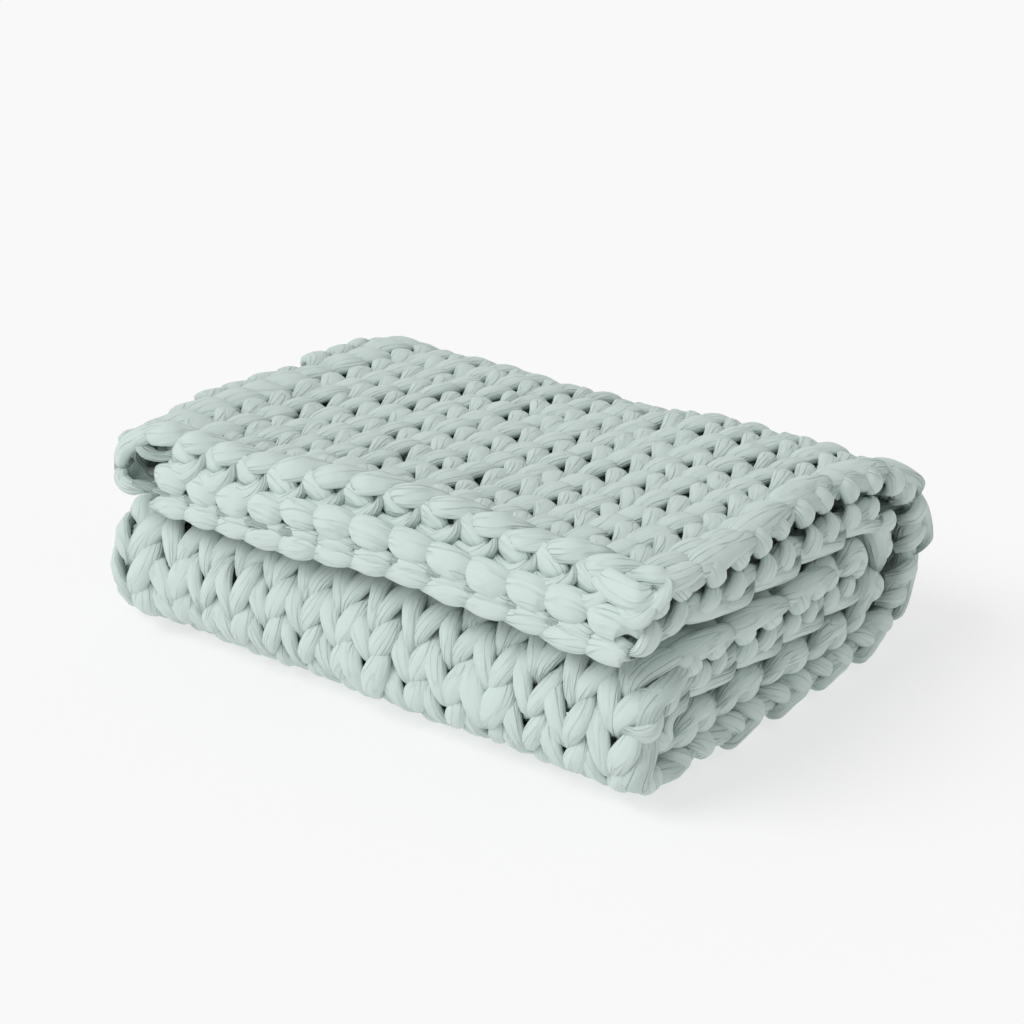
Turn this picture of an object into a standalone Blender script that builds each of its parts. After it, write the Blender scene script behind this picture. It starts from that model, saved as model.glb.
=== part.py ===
# A chunky knitted weighted blanket, folded in half across its width and then rolled up flat, as one closed
# solid of cloth. X runs along the folds, -Y is the front with the two open lips, Z is up. Metres.
import math

import bpy
import numpy as np

# the folded bundle
LENGTH = 0.622  # along the folds, from the folded end to the selvages
DEPTH = 0.486  # from the front bend to the back bend
SHEET = 0.0335  # thickness of the knitted cloth
PITCH = 0.0368  # from one layer's middle to the next: the layers lie a little apart

# how the roll turns
BACK_SLACK = 0.026  # how far the outer layer hangs clear of the inner one at the back bend
BACK_SQUARE = 2.0, 3.2  # over and under the middle: 2 is a round bend, more is squarer
FRONT_SQUARE = 2.5, 2.9
ROUND = 2, 2
LIP_INSET = 0.010  # the lips' stitches start this far behind the front bend
LIP_STEP = 0.011
LIP_LENGTH = 0.09  # how much of each lip bends down
LIP_DROOP = 0.002, 0.009  # of the upper and the lower lip, at its edge

# the two ends of the cloth inside the roll
HOOK_Y = 0.104  # the inner layer turns up here, inside the back bend
HOOK_RADIUS = 0.0182
HOOK_RETURN = 0.020
HOOK_THIN = 0.74  # the cast-off end is thinner than the cloth
THINNING = 0.05  # over this length
JOIN_SHORT = 0.014  # at the folded end both layers stop this short of the turn
END_SHORT = 0.026  # at the selvages the outer layer stops this much shorter still

# edges
EDGE_BULGE = 0.007  # every edge is softly rounded
EDGE_THIN = 0.78
EDGE_SHARE = 0.018  # the share of the width that the rounding takes
INSIDE_FOLD = 0.0012  # the purl faces stay this far apart inside the turned end

# how the soft bundle sits: shifts of its corners from a true block
LEAN = 0.015  # the top lies this far towards the selvages, and the bottom as far the other way
TOP_SAG = 0.013  # the back of the top sinks beyond the folded end
LIP_TILT = 0.004  # the lips drop from the folded end to the selvages
CORNER_DROP = 0.012  # the lips' closed corner hangs down
CORNER_DRAW = 0.009  # and is drawn in towards the selvages
BELLY = 0.007  # the back bend's lower half swells
WAVE = 0.003  # soft unevenness of the whole bundle

# stations of the mesh
ACROSS_HALF, ACROSS_FOLD = 10, 7
ALONG_TOP, ALONG_BACK, ALONG_BOTTOM, ALONG_FRONT, ALONG_END = 12, 14, 7, 12, 22
END_CROWDING = 1.7  # the stations crowd towards the cloth's end, where it curls

HALF = SHEET / 2
LANE = [HALF + PITCH * n for n in range(6)]  # heights of the six layers' middles
FRONT_RADIUS, BACK_RADIUS = PITCH, 2 * PITCH  # of the pair of layers, at their middle
Y_FRONT = -DEPTH / 2 + FRONT_RADIUS + PITCH / 2 + HALF
Y_BACK = DEPTH / 2 - BACK_RADIUS - PITCH / 2 - HALF - BACK_SLACK
HEIGHT = LANE[5] + HALF
FOLD_X = -LENGTH / 2 + PITCH / 2 + HALF  # middle of the turned end
WIDTH = LENGTH / 2 - FOLD_X - EDGE_BULGE
STRAIGHT = HOOK_Y - Y_FRONT
REACH = STRAIGHT - JOIN_SHORT


def run(y0, y1, z, steps):
    """Points along a level stretch, without its last one."""
    return [(y, z) for y in np.linspace(y0, y1, steps + 1)[:-1]]


def bend(y, z, ry, rz, square, first, last, steps):
    """Points round half a superellipse, from one angle in degrees to the other, without its last one. The
    two numbers of square are for its upper and its lower half."""
    out = []
    for angle in np.radians(np.linspace(first, last, steps + 1)[:-1]):
        c, s = math.cos(angle), math.sin(angle)
        power = 2 / square[0 if s > 0 else 1]
        out.append((y + ry * math.copysign(abs(c) ** power, c), z + rz * math.copysign(abs(s) ** power, s)))
    return out


def layer(outer):
    """Middle of one layer in the Y-Z plane, from its lip over the top, round the back, along the bottom and
    up the front. Both layers have the same stations, so that the turned end can join them."""
    half = PITCH / 2 if outer else -PITCH / 2
    top, bottom, middle = LANE[4] + PITCH / 2, LANE[0] + PITCH / 2, LANE[2] + PITCH / 2
    lip = -DEPTH / 2 + LIP_INSET
    radius = BACK_RADIUS + half
    p = [(lip, top + half)]
    p += run(lip + LIP_STEP, Y_BACK, top + half, ALONG_TOP)
    p += bend(Y_BACK, (top + bottom) / 2, radius + (BACK_SLACK if outer else 0), radius,
              BACK_SQUARE if outer else ROUND, 90, -90, ALONG_BACK)
    p += run(Y_BACK, Y_FRONT, bottom - half, ALONG_BOTTOM)
    radius = FRONT_RADIUS + half
    p += bend(Y_FRONT, (middle + bottom) / 2, radius, radius, FRONT_SQUARE if outer else ROUND,
              -90, -270, ALONG_FRONT)
    p = np.array(p)
    near = np.clip(1 - (p[:, 0] + DEPTH / 2) / LIP_LENGTH, 0, 1) ** 2 * (p[:, 1] > LANE[3])
    p[:, 1] -= near * LIP_DROOP[0 if outer else 1]
    return p


def last_run(outer, reach):
    """The rest of that layer, reach metres long: back inside the roll to the cloth's end. The inner layer's
    end turns up inside the back bend."""
    z = LANE[3] if outer else LANE[2]
    out = []
    for s in reach * (1 - (1 - np.linspace(0, 1, ALONG_END + 1)) ** END_CROWDING):
        turned = (s - STRAIGHT) / HOOK_RADIUS
        if outer or turned <= 0:
            out.append((Y_FRONT + s, z))
        elif turned <= math.pi:
            out.append((HOOK_Y + HOOK_RADIUS * math.sin(turned), z + HOOK_RADIUS * (1 - math.cos(turned))))
        else:
            out.append((HOOK_Y - HOOK_RADIUS * (turned - math.pi), z + 2 * HOOK_RADIUS))
    return np.array(out)


def outward(p):
    """Unit vectors to the left of the direction of travel, which is outwards from the roll."""
    d = np.gradient(p, axis=0)
    d /= np.linalg.norm(d, axis=1)[:, None]
    return np.stack([-d[:, 1], d[:, 0]], axis=1)


def strip(outer, t):
    """Knit face and purl face of the cloth along one station of a flat half, t = 0 at its selvage and 1 at
    the turned end. The knit face is on the outside of both halves."""
    if outer:
        p = np.vstack([layer(True), last_run(True, REACH - (1 - t) * END_SHORT)])
    else:
        curl = JOIN_SHORT + math.pi * HOOK_RADIUS + HOOK_RETURN
        p = np.vstack([layer(False), last_run(False, REACH + (1 - t) * curl)])
    thick = np.full(len(p), HALF * (EDGE_THIN if t == 0 else 1))
    if not outer:
        station = np.arange(len(p))
        tail = np.clip((p[:, 0] - HOOK_Y + THINNING) / THINNING, 0, 1) * (station >= len(p) - ALONG_END - 1)
        tail = np.maximum(tail, (station > len(p) - 8) * (1 - t))
        thick = thick * (1 - (1 - HOOK_THIN) * tail)
    thick[[0, -1]] *= EDGE_THIN
    n = outward(p) * thick[:, None] * (1 if outer else -1)
    x = np.full(len(p), FOLD_X + WIDTH * (1 - t))
    return np.column_stack([x, p + n]), np.column_stack([x, p - n])


def turned_strip(t):
    """The same along one station of the turned end, t = 0 at the outer layer and 1 at the inner one. It is
    flattened a little, so that every layer ends at about the same place."""
    a = np.vstack([layer(True), last_run(True, REACH)])
    b = np.vstack([layer(False), last_run(False, REACH)])
    middle, across = (a + b) / 2, (a - b) / 2
    radius = np.linalg.norm(across, axis=1)
    faces = []
    for r in (radius + HALF, np.maximum(radius - HALF, INSIDE_FOLD)):
        x = FOLD_X - r * math.sin(math.pi * t) * (PITCH / 2 + HALF) / (radius + HALF)
        faces.append(np.column_stack([x, middle + across * (r / radius * math.cos(math.pi * t))[:, None]]))
    return faces


def settle(v):
    """The soft bundle's own uneven shape, laid on the true one. It leaves the underside flat."""
    x, y, z = v.T
    up, back, right = z / HEIGHT, y / DEPTH + 0.5, x / LENGTH + 0.5
    turn = 2 * math.pi
    front = np.exp(-((back / 0.16) ** 2))
    sx = LEAN * (2 * up - 1) + 0.010 * right * back * (1 - up) - 0.008 * (1 - right) * back * up
    sx = sx + 0.004 * np.sin(turn * (1.6 * back + 0.9 * up)) * (right - 0.3)
    sx = sx + CORNER_DRAW * np.exp(-((right / 0.2) ** 2) - (back / 0.2) ** 2) * up**2
    sy = 0.004 * np.sin(turn * (1.3 * right + 0.2)) * up + 0.006 * (right - 0.5) * up * back
    sy = sy + BELLY * np.clip(4 * back - 3, 0, 1) * np.sin(math.pi * np.clip(up, 0, 1) ** 0.6)
    sz = -TOP_SAG * (1 - np.exp(-((right / 0.11) ** 2))) * back - LIP_TILT * (2 * right - 1) * front
    sz = sz - CORNER_DROP * np.exp(-((right / 0.13) ** 2) - (back / 0.15) ** 2)
    sz = sz + WAVE * np.sin(turn * (2.1 * right + 0.7 * back + 0.1)) + 0.004 * back
    return np.stack([x + sx, y + sy, z + sz * up], axis=1)


def cloth_mesh():
    """Two grids of faces, knit and purl, one station of each for every strip, with a rounded edge all round:
    a row of middle points past the lips, past the far ends and past both selvages. The bundle is centred over
    the origin."""
    flat = np.concatenate([[0], np.linspace(EDGE_SHARE, 1, ACROSS_HALF - 1)])
    strips = [strip(True, t) for t in flat]
    strips += [turned_strip(t) for t in np.linspace(0, 1, ACROSS_FOLD + 1)[1:-1]]
    strips += [strip(False, t) for t in flat[::-1]]
    points, faces = [], []

    def add(rows):
        points.extend(rows)
        return list(range(len(points) - len(rows), len(points)))

    grid = []
    for knit, purl in strips:
        middle = (knit + purl) / 2
        ends = []
        for here, inside in ((0, 1), (-1, -2)):
            away = middle[here] - middle[inside]
            ends.append(middle[here] + away / np.linalg.norm(away) * EDGE_BULGE)
        grid.append((add(knit), add(purl), add(ends)))
    for (k0, p0, e0), (k1, p1, e1) in zip(grid, grid[1:]):
        for j in range(len(k0) - 1):
            faces.append((k0[j], k0[j + 1], k1[j + 1], k1[j]))
            faces.append((p0[j], p1[j], p1[j + 1], p0[j + 1]))
        faces += [(k0[0], k1[0], e1[0], e0[0]), (e0[0], e1[0], p1[0], p0[0])]
        faces += [(k0[-1], e0[1], e1[1], k1[-1]), (e0[1], p0[-1], p1[-1], e1[1])]
    for (knit, purl), (k, p, ends), far in ((strips[0], grid[0], False), (strips[-1], grid[-1], True)):
        middle = (knit + purl) / 2
        middle = np.vstack([[points[ends[0]]], middle, [points[ends[1]]]])
        middle[:, 0] += EDGE_BULGE
        m = add(middle)
        rim = []
        for j in range(len(k) - 1):
            rim.append((m[j + 1], m[j + 2], k[j + 1], k[j]))
            rim.append((p[j], p[j + 1], m[j + 2], m[j + 1]))
        rim += [(ends[0], m[0], m[1], k[0]), (m[0], ends[0], p[0], m[1])]
        rim += [(m[-2], m[-1], ends[1], k[-1]), (ends[1], m[-1], m[-2], p[-1])]
        faces += [face[::-1] for face in rim] if far else rim
    points = settle(np.array(points))
    points[:, :2] -= (points.min(axis=0) + points.max(axis=0))[:2] / 2
    return points, faces


def jersey_material():
    """Matt cotton jersey in pale sage green."""
    material = bpy.data.materials.new("cotton jersey")
    material.use_nodes = True
    shader = material.node_tree.nodes["Principled BSDF"]
    shader.inputs["Base Color"].default_value = (0.50, 0.59, 0.56, 1)
    shader.inputs["Roughness"].default_value = 0.9
    shader.inputs["Metallic"].default_value = 0.0
    return material


def build():
    for old in list(bpy.data.objects):
        bpy.data.objects.remove(old)
    points, faces = cloth_mesh()
    mesh = bpy.data.meshes.new("blanket")
    mesh.from_pydata([tuple(point) for point in points], [], faces)
    mesh.validate()
    mesh.shade_smooth()
    mesh.materials.append(jersey_material())
    blanket = bpy.data.objects.new("blanket", mesh)
    collection = bpy.data.collections.new("weighted blanket")
    bpy.context.scene.collection.children.link(collection)
    collection.objects.link(blanket)


build()
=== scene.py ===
# A chunky knitted weighted blanket, folded in half and rolled up flat. Every loop of its yarn is laid over
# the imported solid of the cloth. X runs along the folds, -Y is the front with the two lips, Z is up. Metres.
import math

import bpy
import numpy as np
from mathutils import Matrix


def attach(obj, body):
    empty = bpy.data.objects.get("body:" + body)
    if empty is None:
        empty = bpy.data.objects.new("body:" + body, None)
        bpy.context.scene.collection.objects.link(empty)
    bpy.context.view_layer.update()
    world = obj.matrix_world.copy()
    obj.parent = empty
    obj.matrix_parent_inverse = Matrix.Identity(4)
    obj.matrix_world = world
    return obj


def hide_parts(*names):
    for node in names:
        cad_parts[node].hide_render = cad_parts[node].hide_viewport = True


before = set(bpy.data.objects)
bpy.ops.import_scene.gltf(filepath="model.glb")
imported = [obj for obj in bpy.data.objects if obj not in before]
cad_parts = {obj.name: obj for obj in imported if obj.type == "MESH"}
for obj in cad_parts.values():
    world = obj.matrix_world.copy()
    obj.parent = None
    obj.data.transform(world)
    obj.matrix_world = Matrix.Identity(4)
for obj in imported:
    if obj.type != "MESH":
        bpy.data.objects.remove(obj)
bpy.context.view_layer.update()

# The cloth: one hand-knitted sheet of cotton tube yarn, folded in half across its width and then rolled up
# flat, with nothing sewn. This says where a point of the flat sheet lies in the bundle: u across from the
# middle of the fold, s along from the cast-on edge, and h out from the middle of its thickness.
LENGTH = 0.622  # of the bundle, from the folded end to the side edges
DEPTH = 0.486  # from the front bend to the back bend
SHEET = 0.0335  # thickness of the cloth
PITCH = 0.0368  # from one layer's middle to the next
HALF = SHEET / 2
LANE = [HALF + PITCH * n for n in range(6)]  # heights of the six layers' middles
HEIGHT = LANE[5] + HALF

# how the roll turns
BACK_SLACK = 0.026  # the outer layer hangs this far clear of the inner one at the back bend
BACK_SQUARE = 2.0, 3.2  # over and under the bend's middle: 2 is a round bend, more is squarer
FRONT_SQUARE = 2.5, 2.9
ROUND = 2, 2
FRONT_RADIUS, BACK_RADIUS = PITCH, 2 * PITCH  # of the pair of layers, at their middle
Y_FRONT = -DEPTH / 2 + FRONT_RADIUS + PITCH / 2 + HALF
Y_BACK = DEPTH / 2 - BACK_RADIUS - PITCH / 2 - HALF - BACK_SLACK
FOLD_X = -LENGTH / 2 + PITCH / 2 + HALF  # middle of the turn at the folded end
HALF_TURN = math.pi * PITCH / 4  # from the middle of the fold to either flat half

# the lips in front, and the two ends of the cloth inside the roll
LIP_INSET = 0.010  # the lips' stitches start this far behind the front bend
LIP_LENGTH = 0.09  # this much of each lip bends down
LIP_DROOP = 0.002, 0.009  # of the upper and the lower lip, at its edge
PAST_LIP = 0.05  # the path runs on this far in front of the lips, for the chain that stands out of them
HOOK_Y, HOOK_RADIUS = 0.104, 0.0182  # the inner layer turns up here, inside the back bend
STRAIGHT = HOOK_Y - Y_FRONT
END_RUN = STRAIGHT + 0.146  # from the front bend, on past the hook

# how the soft bundle sits: shifts of its corners from a true block
LEAN = 0.015  # the top lies this far towards the side edges, and the bottom as far the other way
TOP_SAG = 0.013  # the back of the top sinks beyond the folded end
LIP_TILT = 0.004  # the lips drop from the folded end to the side edges
CORNER_DROP = 0.012  # the lips' closed corner hangs down
CORNER_DRAW = 0.009  # and is drawn in
BELLY = 0.007  # the back bend's lower half swells
WAVE = 0.003  # soft unevenness of the whole bundle
MIDDLE = 0.0017, 0.0039  # the shifts move the bundle's middle here


def bend(y, z, ry, rz, square, first, last, steps):
    """Points round half a superellipse, from one angle in degrees to the other, without its last one."""
    a = np.radians(np.linspace(first, last, steps + 1)[:-1])
    c, s = np.cos(a), np.sin(a)
    power = 2 / np.where(s > 0, square[0], square[1])
    return np.stack([y + ry * np.sign(c) * abs(c) ** power, z + rz * np.sign(s) * abs(s) ** power], 1)


def run(y0, y1, z, steps):
    """Points along a level stretch, without its last one."""
    y = np.linspace(y0, y1, steps + 1)[:-1]
    return np.stack([y, np.full_like(y, z)], 1)


def layer_path(outer):
    """The middle of a layer as fine points in the Y-Z plane, the way out of the cloth at each, and the
    length to each. Both layers have as many points, so that the fold can join them."""
    half = PITCH / 2 if outer else -PITCH / 2
    top, bottom, middle = LANE[4] + PITCH / 2, LANE[0] + PITCH / 2, LANE[2] + PITCH / 2
    lip = -DEPTH / 2 + LIP_INSET
    back, front = BACK_RADIUS + half, FRONT_RADIUS + half
    p = np.vstack([
        run(lip - PAST_LIP, lip, top + half, 20),
        run(lip, Y_BACK, top + half, 140),
        bend(Y_BACK, (top + bottom) / 2, back + (BACK_SLACK if outer else 0), back,
             BACK_SQUARE if outer else ROUND, 90, -90, 160),
        run(Y_BACK, Y_FRONT, bottom - half, 90),
        bend(Y_FRONT, (middle + bottom) / 2, front, front,
             FRONT_SQUARE if outer else ROUND, -90, -270, 140),
    ])
    near = np.clip(1 - (p[:, 0] + DEPTH / 2) / LIP_LENGTH, 0, 1) ** 2 * (p[:, 1] > LANE[3])
    p[:, 1] -= near * LIP_DROOP[0 if outer else 1]
    s = np.linspace(0, END_RUN, 260)
    if outer:
        end = np.stack([Y_FRONT + s, np.full_like(s, LANE[3])], 1)
    else:
        turned = np.maximum(s - STRAIGHT, 0) / HOOK_RADIUS
        arc = np.minimum(turned, math.pi)
        end_y = Y_FRONT + np.minimum(s, STRAIGHT) + HOOK_RADIUS * np.sin(arc) - HOOK_RADIUS * (turned - arc)
        end = np.stack([end_y, LANE[2] + HOOK_RADIUS * (1 - np.cos(arc))], 1)
    p = np.vstack([p, end])
    length = np.concatenate([[0], np.cumsum(np.linalg.norm(np.diff(p, axis=0), axis=1))]) - PAST_LIP
    way = np.gradient(p, axis=0)
    way /= np.linalg.norm(way, axis=1)[:, None]
    return p, np.stack([-way[:, 1], way[:, 0]], 1), length


def settle(v):
    """The soft bundle's own uneven shape, as in the solid, which is centred over the origin."""
    x, y, z = v.T
    up, back, right = z / HEIGHT, y / DEPTH + 0.5, x / LENGTH + 0.5
    turn = 2 * math.pi
    front = np.exp(-((back / 0.16) ** 2))
    sx = LEAN * (2 * up - 1) + 0.010 * right * back * (1 - up) - 0.008 * (1 - right) * back * up
    sx = sx + 0.004 * np.sin(turn * (1.6 * back + 0.9 * up)) * (right - 0.3)
    sx = sx + CORNER_DRAW * np.exp(-((right / 0.2) ** 2) - (back / 0.2) ** 2) * up**2
    sy = 0.004 * np.sin(turn * (1.3 * right + 0.2)) * up + 0.006 * (right - 0.5) * up * back
    sy = sy + BELLY * np.clip(4 * back - 3, 0, 1) * np.sin(math.pi * np.clip(up, 0, 1) ** 0.6)
    sz = -TOP_SAG * (1 - np.exp(-((right / 0.11) ** 2))) * back - LIP_TILT * (2 * right - 1) * front
    sz = sz - CORNER_DROP * np.exp(-((right / 0.13) ** 2) - (back / 0.15) ** 2)
    sz = sz + WAVE * np.sin(turn * (2.1 * right + 0.7 * back + 0.1)) + 0.004 * back
    return np.stack([x + sx - MIDDLE[0], y + sy - MIDDLE[1], z + sz * up], 1)


A_PATH, A_OUT, A_LENGTH = layer_path(True)
B_PATH, B_OUT, B_LENGTH = layer_path(False)
STATIONS = np.arange(len(A_PATH))


def place(u, station, s, h):
    """The bundle's points for points of the cloth. In the fold, the station along both layers' paths says
    how far round the roll a point lies. In the flat halves, s does."""
    u, station, s, h = np.broadcast_arrays(u, station, s, h)

    def at(table, length, where):
        return np.stack([np.interp(where, length, table[:, i]) for i in (0, 1)], 1)

    a = at(A_PATH, A_LENGTH, s) + at(A_OUT, A_LENGTH, s) * h[:, None]
    b = at(B_PATH, B_LENGTH, s) - at(B_OUT, B_LENGTH, s) * h[:, None]
    fold_a, fold_b = at(A_PATH, STATIONS, station), at(B_PATH, STATIONS, station)
    middle, across_fold = (fold_a + fold_b) / 2, (fold_a - fold_b) / 2
    radius = np.linalg.norm(across_fold, axis=1)
    turn = math.pi / 2 * (1 - np.clip(u / HALF_TURN, -1, 1))
    out = radius + h
    fold = middle + across_fold * (out / radius * np.cos(turn))[:, None]
    squeeze = (PITCH / 2 + HALF) / (radius + HALF)  # where the layers lie apart, it stands out no farther
    x = FOLD_X + np.maximum(abs(u) - HALF_TURN, 0)
    in_fold = abs(u) < HALF_TURN
    yz = np.where(in_fold[:, None], fold, np.where((u > 0)[:, None], a, b))
    x = np.where(in_fold, FOLD_X - out * np.sin(turn) * squeeze, x)
    return settle(np.column_stack([x, yz]))


# The lattice of stitches: 37 rows of 28 loops, worked by hand from the cast-on edge. Whole numbers of r are
# the rows. Whole numbers of c are the wales' middles, 0 to 13 on the outer half and -1 to -14 on the inner
# one, which ends in half a loop more.
WALE, ROW = 0.0414, 0.0373
FIRST_ROW = 0.012  # the first row's middle from the cast-on edge
ROWS = 37
WALES = 15  # of a half, counted past its edge
FOLD_WALE = 0.025  # the fold's two wales lie this far from its middle
WALE_PLACES = np.array([FOLD_WALE] + [HALF_TURN + WALE * j for j in range(1, WALES + 3)])
ARCH = 0.537  # the outer rows bow along the cloth, by metres for each square metre across
ARCH_MIDDLE, ARCH_ON = 0.203, 0.0146  # the bow's middle, across from the fold, and how far on it lies
BOW_FROM, BOW_OVER = 0.35, 0.6  # the bow grows from here on, over this length
INNER_ROWS = 1.204 / 1.383  # the inner layer's shorter way round takes as many rows
EVEN_FROM = 0.3  # its rows draw together from here along the cloth
EVEN_OVER = 0.4  # beside the fold they follow the outer layer's, and this far across they are even
DRIFT_AT = [0.2, 0.9, 1.0, 1.17, 1.25]  # the outer wales lie to the right by
DRIFT = [0.0141, 0.0207, 0.0207, 0.0350, 0.0207]  # this much at those places along the cloth
DRIFT_FROM, DRIFT_OVER = 0.01, 0.05  # the drift grows from here across, over this width
LIP_MIDDLE, LIP_SPREAD = 0.09, 0.21  # the lips are propped up about this x, as far as this
LIP_BACK = 0.07  # and along the cloth as far as this
LIP_ACROSS = -0.05, 0.05  # this far across lie the lower lip and the upper one
LIP_RISE, LIP_SET_BACK = (0.012, 0.007), (0.002, 0.018)  # of each


def across(c):
    """Metres across the cloth of the wale coordinate c."""
    one = np.interp(abs(c + 0.5), np.arange(WALES + 3) + 0.5, WALE_PLACES)
    inner = abs(c + 0.5) < 0.5
    return np.where(inner, (c + 0.5) * 2 * FOLD_WALE, np.sign(c + 0.5) * one)


def cloth_point(c, r, h, ds=0.0):
    """The bundle's points at wale c, row r, h out. ds moves a point on along the cloth."""
    c, r, h, ds = (np.asarray(v, float) for v in np.broadcast_arrays(c, r, h, ds))
    u = across(c)
    s = FIRST_ROW + ROW * r + ds
    bow = np.clip((s - BOW_FROM) / BOW_OVER, 0, 1)
    outer_u = u + np.interp(s, DRIFT_AT, DRIFT) * np.clip((u - DRIFT_FROM) / DRIFT_OVER, 0, 1)
    s_outer = s - bow * (ARCH * (u - HALF_TURN - ARCH_MIDDLE) ** 2 - ARCH_ON)
    station = np.interp(s - bow * (ARCH * ARCH_MIDDLE**2 - ARCH_ON), A_LENGTH, STATIONS)
    at_fold = np.interp(station, STATIONS, B_LENGTH)
    relaxed = np.where(s < EVEN_FROM, s, EVEN_FROM + (s - EVEN_FROM) * INNER_ROWS)
    share = np.clip((abs(u) - HALF_TURN) / EVEN_OVER, 0, 1)
    s_inner = at_fold * (1 - share) + relaxed * share
    points = place(np.where(u > 0, outer_u, u), station, np.where(u > 0, s_outer, s_inner), h)
    # the thick chain props the lips up along their middle and sets the upper one back
    near_lip = np.exp(-((np.clip(s, 0, None) / LIP_BACK) ** 2))
    lip = near_lip * np.exp(-(((points[:, 0] - LIP_MIDDLE) / LIP_SPREAD) ** 2))
    points[:, 2] += lip * np.interp(u, LIP_ACROSS, LIP_RISE)
    points[:, 1] += lip * np.interp(u, LIP_ACROSS, LIP_SET_BACK)
    return points


# The yarn: a puffy tube of soft cotton jersey with a loose filling, about 21 mm thick. It is drawn tight
# and creased where it passes through the next loop, and swells again beyond it. A tree of nodes sweeps the
# tube along each strand.
YARN = 0.0208  # thickness
SAGE, SAGE_PAINTED_SHADE = "#CBD9D4", "#758C82"  # its colour in the open, and the painted shade it is darkened to in creases and between the loops


def add_node(tree, kind, inputs=None, **settings):
    """A node with its settings, and with a value or another node's output in each input given."""
    node = tree.nodes.new(kind)
    for name, value in settings.items():
        setattr(node, name, value)
    for key, value in (inputs or {}).items():
        if isinstance(value, bpy.types.NodeSocket):
            tree.links.new(value, node.inputs[key])
        else:
            node.inputs[key].default_value = value
    return node


def linear(hex_colour):
    """sRGB hex to linear RGBA."""
    parts = [int(hex_colour[i:i + 2], 16) / 255 for i in (1, 3, 5)]
    return tuple(p / 12.92 if p <= 0.04045 else ((p + 0.055) / 1.055) ** 2.4 for p in parts) + (1.0,)


def jersey():
    """Dyed cotton jersey, washed and matt: a soft skin with a faint bloom and no shine, drawn into folds.
    The patterns lie on the yarn's own way round and along. Their unit is half its thickness, 10.4 mm."""
    material = bpy.data.materials.new("cotton jersey")
    material.use_nodes = True
    tree = material.node_tree
    shader = tree.nodes["Principled BSDF"]

    def maths(what, a, b=0.0, clamp=False):
        return add_node(tree, "ShaderNodeMath", {0: a, 1: b}, operation=what, use_clamp=clamp).outputs[0]

    def stretched(scale, **noise):
        """A noise on the yarn, where scale stretches it lengthwise."""
        at = add_node(tree, "ShaderNodeMapping", {"Vector": lie, "Scale": scale}).outputs[0]
        return add_node(tree, "ShaderNodeTexNoise", {"Vector": at, **noise}).outputs["Fac"]

    lie = add_node(tree, "ShaderNodeAttribute", attribute_name="lie").outputs["Vector"]
    pinch = add_node(tree, "ShaderNodeAttribute", attribute_name="pinch").outputs["Fac"]
    # sharp folds about 7 mm apart gather where the yarn is pinched, and run out 50 mm and more along it
    fold_line = stretched((1.0, 1.0, 0.13), Scale=1.4, Detail=0.5)
    from_line = maths("ABSOLUTE", maths("SUBTRACT", fold_line, 0.5))
    ridge = maths("SUBTRACT", 1.0, maths("MULTIPLY", from_line, 16.0), True)
    reach = stretched((0.6, 0.6, 0.5), Scale=1.3, Detail=0.0)
    gathered = maths("MULTIPLY", maths("ADD", pinch, maths("SUBTRACT", reach, 0.15)), 1.1, True)
    ridge = maths("MULTIPLY", ridge, gathered)
    # wrinkles of 3 mm between them, and soft dents of 12 mm everywhere
    wrinkle = maths("MULTIPLY", stretched((1.0, 1.0, 0.12), Scale=3.5, Detail=2.0), gathered)
    soft = stretched((1.0, 1.0, 0.5), Scale=0.9, Detail=1.0)
    height = maths("ADD", maths("MULTIPLY", soft, 0.6), maths("MULTIPLY", wrinkle, 0.7))
    height = maths("SUBTRACT", height, maths("MULTIPLY", ridge, 0.45))
    bump = add_node(tree, "ShaderNodeBump", {"Height": height, "Strength": 0.8, "Distance": 0.0028})
    tree.links.new(bump.outputs["Normal"], shader.inputs["Normal"])
    # painted shade: the colour is darkened in a fold's line, and where the yarn is tucked in between the
    # loops, for the shade that falls there
    tucked = maths("MULTIPLY", maths("POWER", pinch, 2.0), 0.55)
    painted_shade = maths("MAXIMUM", maths("MULTIPLY", ridge, 0.24), tucked)
    colours = {0: painted_shade, 6: linear(SAGE), 7: linear(SAGE_PAINTED_SHADE)}
    shade = add_node(tree, "ShaderNodeMix", colours, data_type="RGBA")
    tree.links.new(shade.outputs[2], shader.inputs["Base Color"])
    shader.inputs["Roughness"].default_value = 0.92
    shader.inputs["Sheen Weight"].default_value = 0.15
    shader.inputs["Sheen Roughness"].default_value = 0.5
    shader.inputs["Specular IOR Level"].default_value = 0.25
    return material


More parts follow.
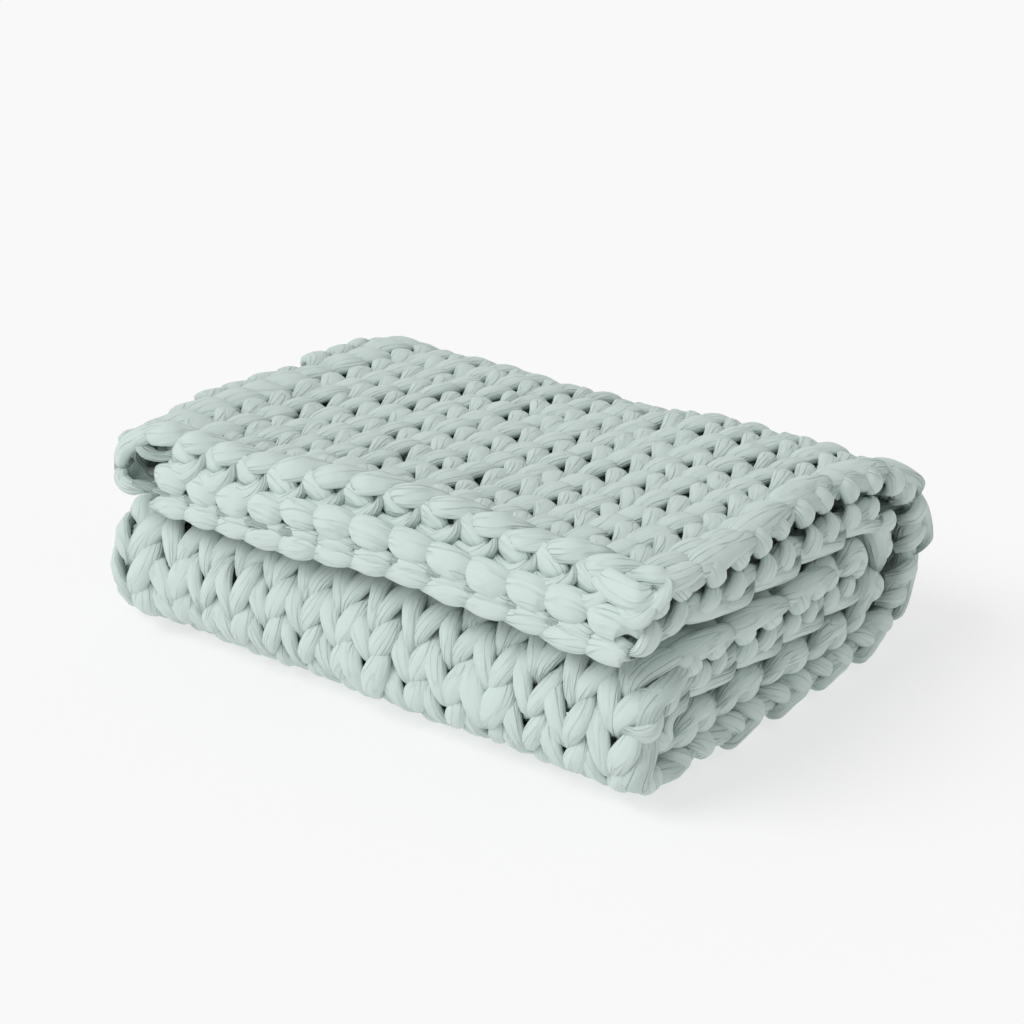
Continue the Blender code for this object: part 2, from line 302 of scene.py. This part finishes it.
def sweep_tree(material):
    """A tree that sweeps the yarn's tube along strands of edges, and the identifiers of its inputs."""
    tree = bpy.data.node_groups.new("tube yarn", "GeometryNodeTree")
    names = {}
    for name, kind in (("Strands", "NodeSocketGeometry"), ("Sides", "NodeSocketInt"),
                       ("Crease depth", "NodeSocketFloat"), ("Creases", "NodeSocketFloat")):
        names[name] = tree.interface.new_socket(name, in_out="INPUT", socket_type=kind).identifier
    tree.interface.new_socket("Yarn", in_out="OUTPUT", socket_type="NodeSocketGeometry")
    given = add_node(tree, "NodeGroupInput").outputs

    def attribute(name, kind="FLOAT"):
        return add_node(tree, "GeometryNodeInputNamedAttribute", {"Name": name}, data_type=kind).outputs[0]

    def store(geometry, name, value, kind="FLOAT_VECTOR"):
        inputs = {"Geometry": geometry, "Name": name, "Value": value}
        node = add_node(tree, "GeometryNodeStoreNamedAttribute", inputs, data_type=kind, domain="POINT")
        return node.outputs[0]

    def maths(what, a, b=0.0):
        return add_node(tree, "ShaderNodeMath", {0: a, 1: b}, operation=what).outputs[0]

    def vector(what, a, b):
        second = 3 if what == "SCALE" else 1
        node = add_node(tree, "ShaderNodeVectorMath", {0: a, second: b}, operation=what)
        return node.outputs["Value" if what == "DOT_PRODUCT" else "Vector"]

    curve = add_node(tree, "GeometryNodeMeshToCurve", {0: given["Strands"]}).outputs[0]
    flat_side = {"Curve": curve, "Normal": attribute("outward", "FLOAT_VECTOR")}
    curve = add_node(tree, "GeometryNodeSetCurveNormal", flat_side, mode="FREE").outputs[0]
    position = add_node(tree, "GeometryNodeInputPosition").outputs[0]
    curve = store(curve, "middle", position)
    ring = add_node(tree, "GeometryNodeCurvePrimitiveCircle", {"Resolution": given["Sides"], "Radius": 1.0})
    index = add_node(tree, "GeometryNodeInputIndex").outputs[0]
    turn = maths("DIVIDE", maths("MULTIPLY", index, 2 * math.pi), given["Sides"])
    ring = store(ring.outputs["Curve"], "turn", turn, "FLOAT")
    inputs = {"Curve": curve, "Profile Curve": ring, "Scale": attribute("thickness"), "Fill Caps": True}
    tube = add_node(tree, "GeometryNodeCurveToMesh", inputs).outputs[0]
    # where a point lies on the yarn: round it and along it
    angle = attribute("turn")
    inputs = {0: maths("COSINE", angle), 1: maths("SINE", angle), 2: attribute("along")}
    tube = store(tube, "lie", add_node(tree, "ShaderNodeCombineXYZ", inputs).outputs[0])
    # flatten the ring towards the cloth, then draw lengthwise creases in, deeper where the yarn is pinched
    middle = attribute("middle", "FLOAT_VECTOR")
    outward = attribute("outward", "FLOAT_VECTOR")
    arm = vector("SUBTRACT", position, middle)
    flatter = maths("SUBTRACT", attribute("flatness"), 1.0)
    depth = maths("MULTIPLY", vector("DOT_PRODUCT", arm, outward), flatter)
    arm = vector("ADD", arm, vector("SCALE", outward, depth))
    lengthwise = vector("MULTIPLY", attribute("lie", "FLOAT_VECTOR"), (1.0, 1.0, 0.22))
    inputs = {"Vector": lengthwise, "Scale": given["Creases"], "Detail": 1.0}
    noise = add_node(tree, "ShaderNodeTexNoise", inputs)
    drawn_in = maths("MULTIPLY", given["Crease depth"], maths("ADD", attribute("pinch"), 0.5))
    crease = maths("MULTIPLY", maths("SUBTRACT", noise.outputs["Fac"], 0.5), drawn_in)
    arm = vector("SCALE", arm, maths("ADD", crease, 1.0))
    inputs = {"Geometry": tube, "Position": vector("ADD", middle, arm)}
    tube = add_node(tree, "GeometryNodeSetPosition", inputs).outputs[0]
    tube = add_node(tree, "GeometryNodeSetShadeSmooth", {"Geometry": tube}).outputs[0]
    tube = add_node(tree, "GeometryNodeRealizeInstances", {"Geometry": tube}).outputs[0]
    tube = add_node(tree, "GeometryNodeSetMaterial", {"Geometry": tube, "Material": material}).outputs[0]
    add_node(tree, "NodeGroupOutput", {0: tube})
    return tree, names


CREASE_DEPTH, CREASES = 0.4, 1.0  # how deep the tube is creased, by its radius, and how many to 10.4 mm
STRAND_SHIFT = 37.3  # each strand reads the patterns this far on from the last one
SWEEP, SWEEP_INPUTS = sweep_tree(jersey())


def spin(name, strands, sides):
    """One piece of yarn from its strands, each a dict of points, outward, thickness, flatness and pinch."""
    mesh = bpy.data.meshes.new(name)
    edges = []
    along = []
    start = 0
    for k, s in enumerate(strands):
        n = len(s["points"])
        edges += [(start + i, start + i + 1) for i in range(n - 1)]
        step = np.linalg.norm(np.diff(s["points"], axis=0), axis=1)
        along.append(np.concatenate([[0], np.cumsum(step)]) / (YARN / 2) + STRAND_SHIFT * k)
        start += n
    points = np.vstack([s["points"] for s in strands])
    mesh.from_pydata([tuple(p) for p in points], edges, [])
    carried = ("outward", "thickness", "flatness", "pinch")
    layers = {attr: np.concatenate([s[attr] for s in strands]) for attr in carried}
    layers["along"] = np.concatenate(along)
    for attr, values in layers.items():
        vector = values.ndim == 2
        layer = mesh.attributes.new(attr, "FLOAT_VECTOR" if vector else "FLOAT", "POINT")
        flat = np.ascontiguousarray(values, np.float32).ravel()
        layer.data.foreach_set("vector" if vector else "value", flat)
    piece = bpy.data.objects.new(name, mesh)
    bpy.context.scene.collection.objects.link(piece)
    modifier = piece.modifiers.new("yarn", "NODES")
    modifier.node_group = SWEEP
    for key, value in (("Sides", sides), ("Crease depth", CREASE_DEPTH), ("Creases", CREASES)):
        modifier[SWEEP_INPUTS[key]] = value
    graph = bpy.context.evaluated_depsgraph_get()
    swept = bpy.data.meshes.new_from_object(piece.evaluated_get(graph))
    piece.modifiers.remove(modifier)
    piece.data = swept
    for attr in ("outward", "thickness", "flatness", "along", "turn", "middle"):
        if attr in swept.attributes:
            swept.attributes.remove(swept.attributes[attr])
    swept.name = name
    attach(piece, "root")
    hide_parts("blanket")


NUDGE = 0.002  # a step along the cloth or out of it, to find the way there
NUDGE_WALES = 0.05  # and across it


def strand(c, r, h, ds, half_width, half_depth, pinch, tilt=0.0, side=0.0):
    """A strand from its cloth coordinates. Its flat side faces out of the cloth, and tilt turns it to the
    cast-on edge, or where side is 1 or -1 to that side edge."""
    points = cloth_point(c, r, h, ds)
    outward = cloth_point(c, r, h + NUDGE, ds) - points
    edgeward = cloth_point(c + NUDGE_WALES * side, r, h, ds - (0 if side else NUDGE)) - points
    outward /= np.linalg.norm(outward, axis=1)[:, None]
    edgeward /= np.linalg.norm(edgeward, axis=1)[:, None]
    tilt = np.broadcast_to(tilt, len(points))[:, None]
    outward = outward * np.cos(tilt) + edgeward * np.sin(tilt)
    flatness = half_depth / half_width
    return dict(points=points, outward=outward, thickness=half_width, flatness=flatness, pinch=pinch)


# The stockinette: each row is one strand of yarn, looped by hand through the row before. From the front a
# loop shows as a V, whose legs come up through the loop below, swell, and dive behind the next one.
LOOP_HEIGHT = 0.0345  # half of a loop, from its middle to its top
LOOP_DEPTH = 0.0068  # half of the yarn's way through the cloth
DIVE = 0.65  # under 1, the yarn stays at either face for longer and dives faster
LOOP_LEAN = 0.0008, 0.0024  # a left leg's foot lies in front of the last loop's top, a right leg's behind
RIGHT_OUT = [8, 20], [0.0004, 0]  # rows, and how far a right leg stands out and a left one sinks in
LOOP_SWAY = [20, 26], [0.24, 0.30]  # rows, and how far the legs spread, in wales
LOOP_SLANT = 0.075  # a loop's top lies this far to the left, and its foot to the right, in wales
LOOP_TILT = 0.24, 0.02  # the flat left and right legs turn this far to the right, in radians
TILT_SHARE = [8, 26], [1, 0.2]  # rows, and the share of that tilt that they have
LEG = 0.0121, 0.0060  # half width and half depth of a leg where it is fullest
LEG_SKEW = -0.16  # it is fullest above its middle
NECK = 0.0044, 0.0045  # half width and half depth of the yarn where it is pinched
SWELL = 2.5, 2  # how suddenly it swells in width and in depth
LEFT_SLIM = 0.02, 0.04  # a left leg is smaller by this share, in width and in depth, and a right one bigger
FRONT_ROWS = [21, 25]  # over these rows, the loops change to the front's
FRONT_SLIM, FRONT_TALL = 0.9, 1.08  # its legs are narrower, and its loops taller
FOLD_PUFF = 0.1, 0.7  # the wales on the fold are puffier: their middle and spread, in wales
PUFF = 0.5, 0.3  # by this share in width and in depth
FIRST_DROP = 0.6  # the first row's loops reach down to the chain by only this share of their height
SWAY_BY, SLANT_BY, HIGH_BY, WIDE_BY = 0.05, 0.03, 0.07, 0.13  # unevenness: in wales, and as shares
ALONG_BY, OUT_BY = 0.0012, 0.0015  # in metres
UNEVEN_WAYS = "wide", "high", "side", "out", "tilt"
rng = np.random.default_rng(11)
unevenness = {key: rng.normal(0, 1, (ROWS + 4, 2 * WALES + 6)) for key in UNEVEN_WAYS}


def uneven(key, c, r):
    """A stitch's own share of unevenness, changing smoothly from wale to wale."""
    table = unevenness[key][r + 1]
    where = c + WALES + 2
    low = np.floor(where).astype(int)
    f = where - low
    f = f * f * (3 - 2 * f)
    return table[low] * (1 - f) + table[low + 1] * f


def knit_row(r, first, last, steps):
    """Row r from wale coordinate first to last, with steps points to a loop. The phase goes once round for
    each loop: it starts at its foot, goes up the left leg, and comes down the right one from half way."""
    t = np.linspace(first, last, int(round((last - first) * steps)) + 1) + 0.5
    phase = (t - np.floor(t)) * 2 * math.pi
    c = t - 0.5
    tilt = uneven("tilt", c, r)
    # where the yarn goes: across, along and out of the cloth
    x = c + np.interp(r, *LOOP_SWAY) * np.sin(2 * phase) + SWAY_BY * uneven("side", c, r)
    x += (LOOP_SLANT - SLANT_BY * tilt) * np.cos(phase)
    y = -LOOP_HEIGHT * (1 + HIGH_BY * uneven("high", c, r)) * np.cos(phase) + ALONG_BY * tilt
    y *= np.interp(r, FRONT_ROWS, [1, FRONT_TALL])
    if r == 0:
        y = np.where(y < 0, y * FIRST_DROP, y)
    face = -np.cos(2 * phase)
    lean = LOOP_LEAN[0] + LOOP_LEAN[1] * np.sin(phase)
    z = LOOP_DEPTH * np.sign(face) * abs(face) ** DIVE + lean * np.cos(phase) + OUT_BY * uneven("out", c, r)
    z -= np.interp(r, *RIGHT_OUT) * np.sin(phase)
    # how thick it is there
    full = abs(np.sin(phase + LEG_SKEW * np.sin(phase)))
    half_width = (NECK[0] + (LEG[0] - NECK[0]) * full ** SWELL[0]) * (1 + WIDE_BY * uneven("wide", c, r))
    half_width *= 1.0 - LEFT_SLIM[0] * np.sin(phase)
    half_depth = (NECK[1] + (LEG[1] - NECK[1]) * full ** SWELL[1]) * (1.0 - LEFT_SLIM[1] * np.sin(phase))
    half_width *= np.interp(r, FRONT_ROWS, [1, FRONT_SLIM])
    puffy = np.exp(-(((c - FOLD_PUFF[0]) / FOLD_PUFF[1]) ** 2))
    half_width *= 1 + PUFF[0] * puffy
    half_depth *= 1 + PUFF[1] * puffy
    turned = np.interp(r, *TILT_SHARE) * np.interp(np.sin(phase), [-1, 1], LOOP_TILT[::-1])
    return strand(x, np.full_like(x, r), z, y, half_width, half_depth, 1 - full**2, turned, 1)


# The outer half shows, so its yarn has more points and sides than the inner half's. A piece is given by its
# name, its first row and its last.
OUTER_SPAN, OUTER_STEPS, OUTER_SIDES = (-1.0, 13.5), 28, 14  # wales, points to a loop, sides of the tube
INNER_SPAN, INNER_STEPS, INNER_SIDES = (-15.0, -1.0), 12, 8
OUTER_PIECES = (("top", 0, 8), ("back", 9, 16), ("underside", 17, 24), ("front", 25, 31),
                ("tucked_run", 32, 36))
INNER_PIECES = (("inner_a", 0, 18), ("inner_b", 19, 36))
for name, low, high in OUTER_PIECES:
    spin("knit_" + name, [knit_row(r, *OUTER_SPAN, OUTER_STEPS) for r in range(low, high + 1)], OUTER_SIDES)
for name, low, high in INNER_PIECES:
    spin("knit_" + name, [knit_row(r, *INNER_SPAN, INNER_STEPS) for r in range(low, high + 1)], INNER_SIDES)


# The cast-on edge: the chain of big flat loops that the first row is worked into, along the knit face of
# both lips. Under each lie the chain's other leg and the loop that the first row is drawn through, which
# swells into a bump on the purl side.
#
# A loop's knots are (wales on from its own, mm from the edge, mm out, half width, half depth, tilt to the
# edge in degrees). The upper lip's leaves lean back over the first row, each over its leg and its cup.
UPPER_EDGE = (
    [(-0.74, -3, 8, 5, 4, 62), (-0.66, -5, 13.5, 9, 5, 62), (-0.38, -3, 16.5, 11, 6, 58),
     (-0.14, 3, 17, 11, 6, 48), (0.07, 11, 16, 8, 4.6, 32), (0.27, 16, 15, 5, 4, 22),
     (0.4, 20, 13, 3, 3, 12), (0.5, 23, 8, 2.5, 3, 5)],
    [(-0.3, 6, 4, 6, 4, 60), (-0.22, 3, 6, 9, 5, 65), (-0.02, -1, 6.5, 11, 6, 70), (0.26, -4, 4, 12, 6, 75),
     (0.5, -5, -1, 11.5, 6, 80), (0.63, -4, -6, 8, 5, 85), (0.62, 3, -9, 5, 4, 90)],
    [(-0.16, 3, -3, 3, 3, 90), (-0.18, -4, -6, 4.5, 4.5, 92), (0.06, -9, -12, 7.5, 5.5, 97),
     (0.37, -12, -14, 9.5, 6, 102), (0.59, -13, -13, 9.5, 6, 104), (0.8, -12, -6.5, 8, 5.5, 98),
     (0.92, -9, 2, 6, 5, 92), (0.86, -3, 6.5, 4, 4, 88), (0.8, 4, 6, 3, 3, 80)],
)
# The lower lip's leaves hang down, each with its crescent and its bump.
LOWER_EDGE = (
    [(-0.66, -2, 6, 4, 4, 70), (-0.61, -6, 7, 5.5, 4.5, 85), (-0.35, -9, 5.6, 10.5, 5, 92),
     (0.05, -10, 7.4, 11.5, 5.5, 92), (0.45, -8, 12, 9, 5, 88), (0.8, -5, 16, 5, 4, 80),
     (1.0, 1, 18, 3, 3, 70)],
    [(-0.5, 2, -3, 5, 4, 75), (-0.5, -6, -3, 6.5, 5, 85), (-0.21, -8, -4.8, 8, 5.5, 90),
     (0.17, -8, -2.5, 8, 5.5, 90), (0.47, -4, 0, 6, 5, 90), (0.6, 2, -2, 4.5, 4, 90)],
    [(-0.5, 6, -8, 8, 6, 110), (-0.5, 1, -13, 12, 8, 112), (-0.27, -4, -19, 14, 8, 115),
     (0.02, -5, -21, 14.5, 8, 116), (0.32, -4, -20, 14, 8, 115), (0.6, 0, -17, 10, 7.5, 112),
     (0.68, 7, -11, 5, 5, 110)],
)
# At the fold the chain turns down over the end in two thick bends. Here and at the corner, knots count their
# wales from wale 0.
FOLD_END = (
    [(0.6, 6, 14, 5, 4, 50), (0.34, 0, 14, 9.5, 7, 55), (0.05, -4, 6, 10.5, 8, 60),
     (-0.2, -6, -4, 10, 7.5, 70), (-0.42, -6, -10, 8, 7, 80), (-0.62, -3, -14, 5, 5, 80)],
    [(-0.38, 2, -13, 4, 4, 90), (-0.5, -6, -12, 6, 6, 90), (-0.72, -9, -12, 8, 7, 90),
     (-1.0, -10, -8, 9, 7, 90), (-1.3, -10, -4, 8, 6, 90), (-1.6, -4, -2, 4, 4, 90)],
)
# At the right the upper chain's last loop wraps round the corner, its end is tucked in beside it, and the
# side edge's rope starts from it.
CORNER = (
    [(12.3, 2, 4, 6, 5, 60), (12.55, -4, 7, 10, 6, 70), (12.98, -9, 6.5, 14, 7, 80),
     (13.46, -12, 5.6, 14, 8, 85), (13.82, -13, 6.5, 13, 8, 88), (14.0, -9, 9, 10, 7.5, 90),
     (14.08, -3, 13, 8, 7, 80), (14.03, 4, 13, 6, 6, 70)],
    [(14.0, 8, 12, 6, 5, 60), (14.08, 3, 15, 7.5, 6, 70), (14.14, -3, 13, 8.5, 6.5, 85),
     (14.1, -7, 6, 8.5, 6.5, 95), (14.0, -9, -2, 7.5, 6, 100), (13.9, -8, -8, 6, 5, 110)],
    [(13.1, 8, 8, 5, 5, 30), (13.35, 4, 12, 8, 6, 40), (13.6, 6, 14.5, 10, 7, 45),
     (13.82, 8, 15, 10.5, 8, 45), (13.98, 14, 14, 11, 8, 30), (14.03, 28, 14.5, 11, 8, 20),
     (14.02, 42, 14, 9, 7, 10), (14.0, 50, 10, 6, 5, 0), (13.9, 56, 4, 4, 3, 0)],
)
CHAIN_SHIFT = 0.11, -0.65  # the upper and the lower chain's loops lie this far on from their wales
CHAIN_SPAN = -14, 14  # wales that the loops lie on, from the first to before the last
AT_FOLD = 0, -1  # but for these two, which the fold's bends take up
CHAIN_END, CHAIN_DRAWN = -14.9, 0.45  # past here the lower chain is drawn up to this share, and ends blunt
PINCHED = 0.35  # a loop is pinched where it is down to this share of its width
CHAIN_PINCH = 0.75  # the chain is creased less than the rows are
CHAIN_WIDE_BY, CHAIN_ACROSS_BY, CHAIN_BY = 0.05, 0.03, 0.0007  # unevenness: a share, wales and metres
CHAIN_SIDES = 18


def smooth(knots, steps=5):
    """A smooth run through the knots, with steps points to a span."""
    k = np.array(knots, float)
    k = np.vstack([2 * k[0] - k[1], k, 2 * k[-1] - k[-2]])
    t = np.linspace(0, 1, steps, endpoint=False)[:, None]
    spans = [
        0.5 * (2 * b + (c - a) * t + (2 * a - 5 * b + 4 * c - d) * t**2 + (3 * b - a - 3 * c + d) * t**3)
        for a, b, c, d in zip(k, k[1:], k[2:], k[3:])
    ]
    return np.vstack(spans + [k[-2:-1]])


def fullness(half_width):
    """1 where a loop is at its widest, and 0 where it is pinched."""
    return np.clip((half_width / half_width.max() - PINCHED) / (1 - PINCHED), 0, 1)


def edge_loop(knots, base, seed):
    """One loop of the chain, with its wales counted from base, and a little uneven."""
    k = smooth(knots)
    jitter = np.random.default_rng(seed).normal(0, 1, 4)
    wide = 1 + CHAIN_WIDE_BY * jitter[0]
    c = base + k[:, 0] + CHAIN_ACROSS_BY * jitter[1]
    c = np.where(c < CHAIN_END, CHAIN_END + (c - CHAIN_END) * CHAIN_DRAWN, c)
    h = k[:, 2] / 1000 + CHAIN_BY * jitter[2]
    ds = k[:, 1] / 1000 + CHAIN_BY * jitter[3]
    pinch = CHAIN_PINCH * (1 - fullness(k[:, 3]))
    tilt = np.radians(k[:, 5])
    return strand(c, -FIRST_ROW / ROW, h, ds, k[:, 3] / 1000 * wide, k[:, 4] / 1000 * wide, pinch, tilt)


chain = []
for j in range(*CHAIN_SPAN):
    if j in AT_FOLD:
        continue
    for n, knots in enumerate(UPPER_EDGE if j >= 0 else LOWER_EDGE):
        chain.append(edge_loop(knots, j + CHAIN_SHIFT[0 if j >= 0 else 1], 3 * j + n + 100))
for n, knots in enumerate(FOLD_END):
    chain.append(edge_loop(knots, 0, n + 60))
for n, knots in enumerate(CORNER):
    chain.append(edge_loop(knots, 0, n + 40))
spin("cast_on_chain", chain, CHAIN_SIDES)


# The side edges: at every second row the yarn turns back. A swollen strand runs on over the knit face to
# the next turn, and between the turns the last wale's yarn wraps round to the purl side in two loops.
#
# Knots are (mm in from the edge, rows on, mm out, half width, half depth, tilt to the side in degrees).
SIDE_EDGE = (
    [(18, -0.35, -4, 5, 5, 0), (15, -0.05, 0, 9, 7, 10), (12.5, 0.15, 3, 12, 8.5, 20),
     (9, 0.6, 5, 13.5, 8.5, 25), (6, 1.1, 7, 11.5, 7.5, 30), (2.5, 1.6, 8, 9.5, 7, 30),
     (0.5, 1.95, 8, 7.5, 6, 30), (1, 2.2, 4, 4.5, 4, 30), (4, 2.35, -2, 3, 3, 30)],
    [(22, 0.3, 6, 5, 5, 60), (8, 0.4, 4, 9, 7, 80), (2, 0.55, -5, 10.5, 7, 90), (6, 0.8, -13, 9.5, 7, 110),
     (20, 1.0, -16, 5, 5, 130)],
    [(20, 1.1, 6, 5, 5, 60), (7, 1.3, 3, 9, 7, 80), (3, 1.55, -5, 10, 7, 90), (8, 1.85, -12, 9, 7, 110),
     (20, 2.05, -15, 5, 5, 130)],
)
OUTER_EDGE, INNER_EDGE = 14.0, 14.34  # each edge, in wales on from the wale beside the fold
TURNS = range(-1, 17)
FIRST_TURN, TURN_ROWS = 1.4, 2.15  # turn 0 starts at this row, and each next one so many rows on
PLAIN_ROWS = 23, 31  # between these rows the outer edge is plain, without the swollen strand
DRAWN = [1, 7.5, 11, 14, 24, 27, 31, 33], [0, 25, 12, 0, 0, 9, 9, 0]  # rows, and mm the outer edge comes in
DRAWN_LESS = 0.5  # the core and the other loops come in by this share
ALL_DRAWN = 20  # the other loops only up to this row, and all the way from there
TURN_WIDE_BY, TURN_ACROSS_BY, TURN_ALONG_BY = 0.06, 0.02, 0.04  # unevenness: a share, wales and rows
EDGE_SIDES = 14
# The yarn that runs on from turn to turn inside the loops, with its wander in and out once in two rows.
CORE_ROWS = -0.2, ROWS - 0.6
CORE_POINTS, CORE_HALF_WIDTH, CORE_HALF_DEPTH, CORE_PINCH = 300, 0.0115, 0.010, 0.6
CORE_IN, CORE_IN_BY = 0.013, 0.003  # from the edge
CORE_OUT, CORE_OUT_BY = -0.003, 0.004  # out of the cloth


def side_loop(knots, r, side, edge, seed):
    """One turn of a side edge from row r. side is 1 for the outer half's and -1 for the inner half's."""
    k = smooth(knots)
    jitter = np.random.default_rng(seed).normal(0, 1, 4)
    wide = (1 + TURN_WIDE_BY * jitter[0]) / 1000
    swollen = knots is SIDE_EDGE[0]
    drawn = np.interp(r + k[:, 1], *DRAWN) * (side > 0) * (1.0 if swollen or r > ALL_DRAWN else DRAWN_LESS)
    c = side * (edge + 0.5 - (k[:, 0] + drawn) / 1000 / WALE + TURN_ACROSS_BY * jitter[1]) - 0.5
    rows = r + k[:, 1] + TURN_ALONG_BY * jitter[2]
    pinch = 1 - fullness(k[:, 3])
    tilt = np.radians(k[:, 5])
    return strand(c, rows, k[:, 2] / 1000, 0.0, k[:, 3] * wide, k[:, 4] * wide, pinch, tilt, side)


def core(side, edge):
    """The yarn inside a side edge's loops."""
    r = np.linspace(*CORE_ROWS, CORE_POINTS)
    c = side * (edge + 0.5 - (CORE_IN + CORE_IN_BY * np.cos(math.pi * r)) / WALE) - 0.5
    if side > 0:
        c -= DRAWN_LESS * np.interp(r, *DRAWN) / 1000 / WALE
    h = CORE_OUT + CORE_OUT_BY * np.sin(math.pi * r)
    sizes = [np.full(CORE_POINTS, v) for v in (CORE_HALF_WIDTH, CORE_HALF_DEPTH, CORE_PINCH)]
    return strand(c, r, h, 0.0, *sizes)


for name, side, edge in (("side_edge_outer", 1, OUTER_EDGE), ("side_edge_inner", -1, INNER_EDGE)):
    loops = [core(side, edge)]
    for k in TURNS:
        r = FIRST_TURN + TURN_ROWS * k
        unswollen = k < 0 or side > 0 and PLAIN_ROWS[0] < r < PLAIN_ROWS[1]
        for n, knots in enumerate(SIDE_EDGE):
            if n or not unswollen:
                loops.append(side_loop(knots, r, side, edge, 3 * k + n + 500 * (side + 2)))
    spin(name, loops, EDGE_SIDES)


# The room: matt white paper, lit from behind as well so that it stays near white under faint shadows, a soft
# light from all round, and a broad lamp from the front left.
FLOOR = 9.0  # half its width
PAPER, PAPER_GLOW, SURROUNDINGS = "#A8A8A8", "#FFFFFF", "#F9F9F9"
floor_mesh = bpy.data.meshes.new("floor")
corners = [(-FLOOR, -FLOOR, 0), (FLOOR, -FLOOR, 0), (FLOOR, FLOOR, 0), (-FLOOR, FLOOR, 0)]
floor_mesh.from_pydata(corners, [], [(0, 1, 2, 3)])
floor = bpy.data.objects.new("floor", floor_mesh)
bpy.context.scene.collection.objects.link(floor)
paper = bpy.data.materials.new("backlit white paper")
paper.use_nodes = True
sheet = paper.node_tree.nodes["Principled BSDF"]
sheet.inputs["Base Color"].default_value = linear(PAPER)
sheet.inputs["Roughness"].default_value = 0.95
sheet.inputs["Specular IOR Level"].default_value = 0.0
sheet.inputs["Emission Color"].default_value = linear(PAPER_GLOW)
sheet.inputs["Emission Strength"].default_value = 0.585
floor_mesh.materials.append(paper)

world = bpy.data.worlds.new("studio")
bpy.context.scene.world = world
world.use_nodes = True
world.node_tree.nodes["Background"].inputs["Color"].default_value = linear(SURROUNDINGS)
world.node_tree.nodes["Background"].inputs["Strength"].default_value = 0.62
bpy.context.scene.view_settings.view_transform = "Standard"

lamp = bpy.data.objects.new("broad lamp", bpy.data.lights.new("broad lamp", "SUN"))
lamp.data.energy = 1.5
lamp.data.angle = math.radians(38)
lamp.rotation_euler = (math.radians(45), 0, math.radians(-32))
bpy.context.scene.collection.objects.link(lamp)

# The view: a 70 mm lens looks down on the bundle from the right of its open lips.
CAMERA_AZIMUTH, CAMERA_ELEVATION = math.radians(37.94), math.radians(22.38)
CAMERA_TARGET = (-0.0531, 0.0739, 0.080)
CAMERA_DISTANCE = 2.0085
camera = bpy.data.objects.new("camera", bpy.data.cameras.new("camera"))
camera.data.lens = 70.0
camera.data.sensor_width = 36.0
towards = np.array([math.sin(CAMERA_AZIMUTH) * math.cos(CAMERA_ELEVATION),
                    -math.cos(CAMERA_AZIMUTH) * math.cos(CAMERA_ELEVATION),
                    math.sin(CAMERA_ELEVATION)])
camera.location = np.array(CAMERA_TARGET) + CAMERA_DISTANCE * towards
camera.rotation_euler = (math.pi / 2 - CAMERA_ELEVATION, 0, CAMERA_AZIMUTH)
bpy.context.scene.collection.objects.link(camera)
bpy.context.scene.camera = camera
